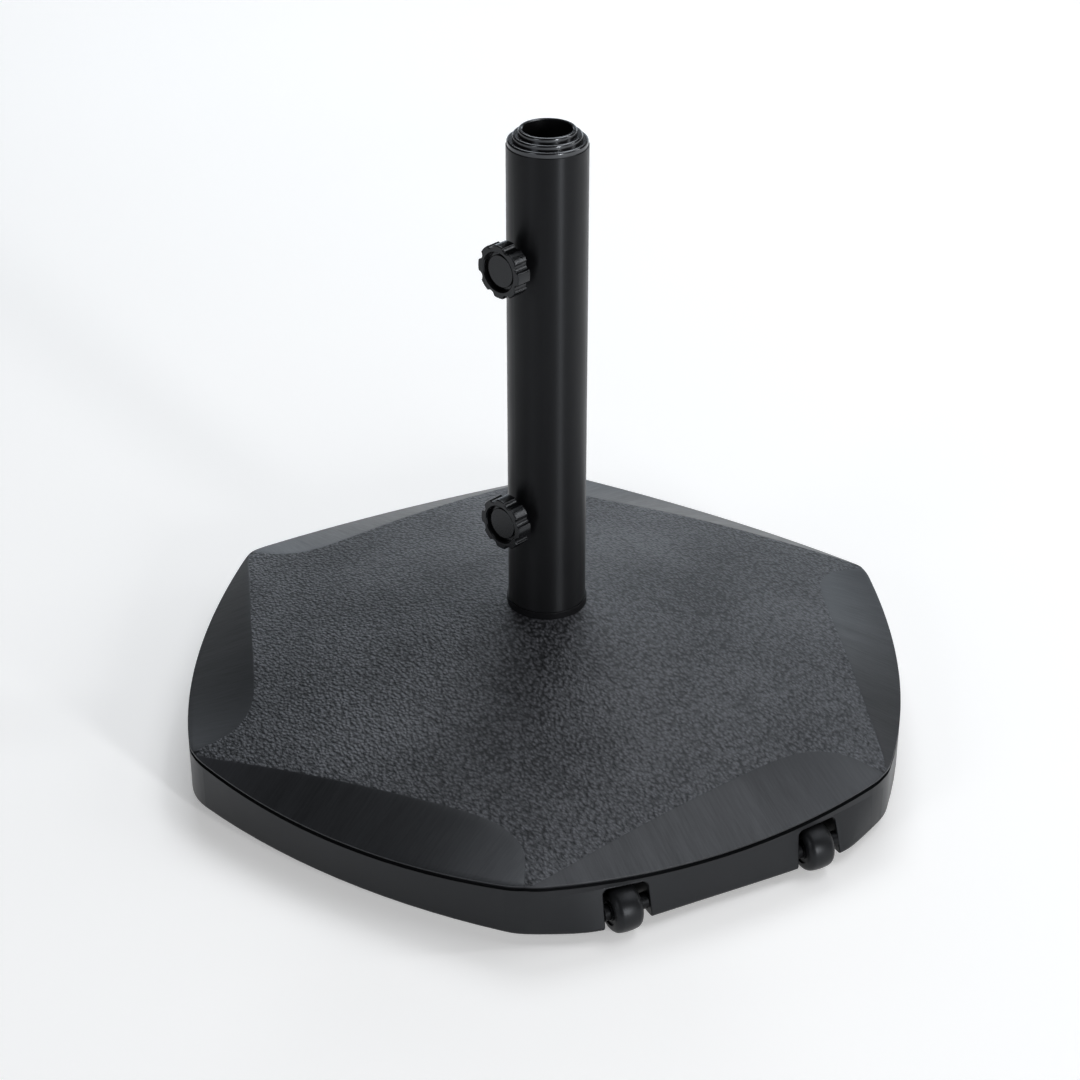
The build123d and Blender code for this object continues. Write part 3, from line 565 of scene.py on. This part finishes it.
def concrete():
    """Cast concrete with sand grains and small air holes, whose middles are painted dark as painted
    shade.
    """
    material, tree, shader = new_material("concrete")
    place = position_in_mm(tree)
    grains = noise(tree, place, scale=0.6, detail=6.0, roughness=0.7)
    holes = cells(tree, place, scale=0.12, feature="F1")
    pits = spread(tree, holes, 0.0, AIR_HOLE_REACH, *AIR_HOLE_HEIGHTS)
    height = math_node(tree, "ADD", grains, pits)
    # sand grains give random tone; the air holes' middles get painted shade
    shade = spread(tree, height, *CONCRETE_HEIGHTS, 0.0, 1.0)
    colour = mix_colours(tree, shade, CONCRETE_DARK, CONCRETE_LIGHT)
    roughness = spread(tree, grains, *NOISE_RANGE, 0.8, 0.95)
    finish_shader(tree, shader, colour, roughness, bump(tree, height, 0.4), specular=0.3)
    return material


MATERIALS = {
    make.__name__: make
    for make in (
        grain_plastic, facet_plastic, pan_plastic, wheel_plastic, trim_plastic, reducer_plastic,
        knob_plastic, tube_paint, foot_rubber, zinc_steel, concrete,
    )
}


def dress_cad_nodes():
    """Gives each CAD node the finish of its material slot in the record."""
    made = {}
    for row in frame["record"]["subparts"]:
        slot = row["material_slot"]
        if slot == "cover_plastic":
            continue
        if slot not in made:
            made[slot] = MATERIALS[slot]()
        node = NODES[row["node"]]
        node.data.materials.clear()
        node.data.materials.append(made[slot])


# ---------------------------------------------------------------- stage, lights and camera
FLOOR_HALF_SIZE = 9.0
FLOOR_GLOW = 0.3
FLOOR_TONES = ((0.86, 0.86, 0.86), (0.90, 0.90, 0.90))
FLOOR_PATCH_SCALE = 0.002                # cycles per mm


def make_floor():
    """Large pale floor under the object."""
    corners = [(-1, -1), (1, -1), (1, 1), (-1, 1)]
    vertices = [(x * FLOOR_HALF_SIZE, y * FLOOR_HALF_SIZE, CAD_BOX[0].z) for x, y in corners]
    floor = mesh_object("floor", vertices, [(0, 1, 2, 3)])
    material, tree, shader = new_material("floor_paper")
    tone = noise(tree, position_in_mm(tree), FLOOR_PATCH_SCALE, detail=2.0)
    tree.links.new(mix_colours(tree, tone, *FLOOR_TONES), shader.inputs["Base Color"])
    shader.inputs["Roughness"].default_value = 0.9
    shader.inputs["Emission Color"].default_value = (1, 1, 1, 1)
    shader.inputs["Emission Strength"].default_value = FLOOR_GLOW
    floor.data.materials.append(material)


# Radius and height, in metres, of the backdrop's bowl, which starts just above the floor
BACKDROP_LINE = (
    (1.5, 0.001), (2.0, 0.001), (2.6, 0.004), (3.4, 0.05), (4.2, 0.35), (4.8, 1.0), (5.1, 2.0),
    (5.1, 3.4), (4.2, 4.8), (2.5, 5.8), (0.3, 6.2),
)
BACKDROP_COLUMNS = 96
BACKDROP_FADE = (1.5, 2.6)               # distances in metres over which it fades in
BACKDROP_LEVEL = 0.93
ALL_SMOOTH = 180.0                       # degrees: no edge is shown sharp


def make_backdrop():
    """Pale bowl around the stage, which is seen but throws no light on the object."""
    vertices = []
    for radius, height in BACKDROP_LINE:
        for column in range(BACKDROP_COLUMNS):
            angle = 2 * math.pi * column / BACKDROP_COLUMNS
            z = CAD_BOX[0].z + height
            vertices.append((radius * math.cos(angle), radius * math.sin(angle), z))
    faces = ring_faces(len(BACKDROP_LINE), BACKDROP_COLUMNS, closed=False)
    backdrop = mesh_object("backdrop", vertices, faces, ALL_SMOOTH)
    material, tree, shader = new_material("backdrop_paper")
    coordinates = tree.nodes.new("ShaderNodeTexCoord")
    distance = tree.nodes.new("ShaderNodeVectorMath")
    distance.operation = "LENGTH"
    tree.links.new(coordinates.outputs["Object"], distance.inputs[0])
    fade = spread(tree, distance.outputs["Value"], *BACKDROP_FADE, 0.0, 1.0)
    tree.links.new(fade, shader.inputs["Alpha"])
    shader.inputs["Base Color"].default_value = (0, 0, 0, 1)
    shader.inputs["Specular IOR Level"].default_value = 0.0
    shader.inputs["Emission Color"].default_value = (1, 1, 1, 1)
    shader.inputs["Emission Strength"].default_value = BACKDROP_LEVEL
    backdrop.data.materials.append(material)
    backdrop.visible_diffuse = False
    backdrop.visible_glossy = False
    backdrop.visible_transmission = False
    backdrop.visible_shadow = False


def make_softbox(name, place, target, size, power, colour):
    light = bpy.data.lights.new(name, "AREA")
    light.shape = "RECTANGLE"
    light.size, light.size_y = size
    light.energy = power
    light.color = colour
    lamp = bpy.data.objects.new(name, light)
    lamp.location = place
    lamp.rotation_mode = "QUATERNION"
    lamp.rotation_quaternion = (target - place).to_track_quat("-Z", "Y")
    lamp.visible_camera = False
    bpy.context.scene.collection.objects.link(lamp)


WORLD_LEVEL = 0.03
WORLD_COLOUR = (0.9, 0.95, 1.0, 1)


def make_world():
    world = bpy.data.worlds.new("studio")
    world.use_nodes = True
    background = world.node_tree.nodes["Background"]
    background.inputs["Color"].default_value = WORLD_COLOUR
    background.inputs["Strength"].default_value = WORLD_LEVEL
    bpy.context.scene.world = world


# Softboxes around the object: azimuth and elevation in degrees, distance and size in metres,
# power in watts and colour. They all face LIGHT_TARGET.
SOFTBOXES = {
    "back_high": (90, 52, 3.2, (1.8, 1.4), 37, (0.94, 0.97, 1.0)),
    "back_low": (90, 12, 3.2, (3.4, 0.9), 18, (0.82, 0.91, 1.0)),
    "right_high": (10, 62, 3.0, (2.0, 1.2), 22, (0.97, 0.98, 1.0)),
    "back_left_low": (125, 12, 3.2, (1.4, 0.9), 0.8, (1, 1, 1)),
    "back_right_low": (55, 14, 3.2, (1.4, 0.9), 1.6, (1, 1, 1)),
    "front_right": (-51, 12, 3.0, (0.30, 1.0), 43, (1, 1, 1)),
    "front_left": (-130, 25, 3.0, (0.8, 1.4), 11, (0.97, 0.98, 1.0)),
    "right_low": (5, 25, 2.6, (0.18, 1.6), 9, (1, 1, 1)),
    "top": (0, 90, 3.2, (2.0, 2.0), 3, (1, 1, 1)),
}

LIGHT_TARGET = Vector((0, 0, 0.1))


def make_lights():
    for name, (azimuth, elevation, distance, size, power, colour) in SOFTBOXES.items():
        flat = math.cos(math.radians(elevation))
        direction = Vector((
            flat * math.cos(math.radians(azimuth)),
            flat * math.sin(math.radians(azimuth)),
            math.sin(math.radians(elevation)),
        ))
        place = LIGHT_TARGET + direction * distance
        make_softbox(name, place, LIGHT_TARGET, size, power, colour)


# Where the photograph was taken from, in the object's frame
CAMERA_PLACE = Vector((0.0776, -1.5430, 1.0384))
CAMERA_TARGET = Vector((-0.0048, -0.0003, 0.1419))
CAMERA_LENS = 85.4
CAMERA_SENSOR = 36.0


def make_camera():
    data = bpy.data.cameras.new("camera")
    data.lens = CAMERA_LENS
    data.sensor_width = CAMERA_SENSOR
    camera = bpy.data.objects.new("camera", data)
    camera.location = CAMERA_PLACE
    camera.rotation_mode = "QUATERNION"
    camera.rotation_quaternion = (CAMERA_TARGET - CAMERA_PLACE).to_track_quat("-Z", "Y")
    bpy.context.scene.collection.objects.link(camera)
    bpy.context.scene.camera = camera


bpy.context.scene.view_settings.view_transform = "Standard"
make_camera()
make_world()
make_lights()
make_floor()
make_backdrop()
dress_cad_nodes()
make_cover()
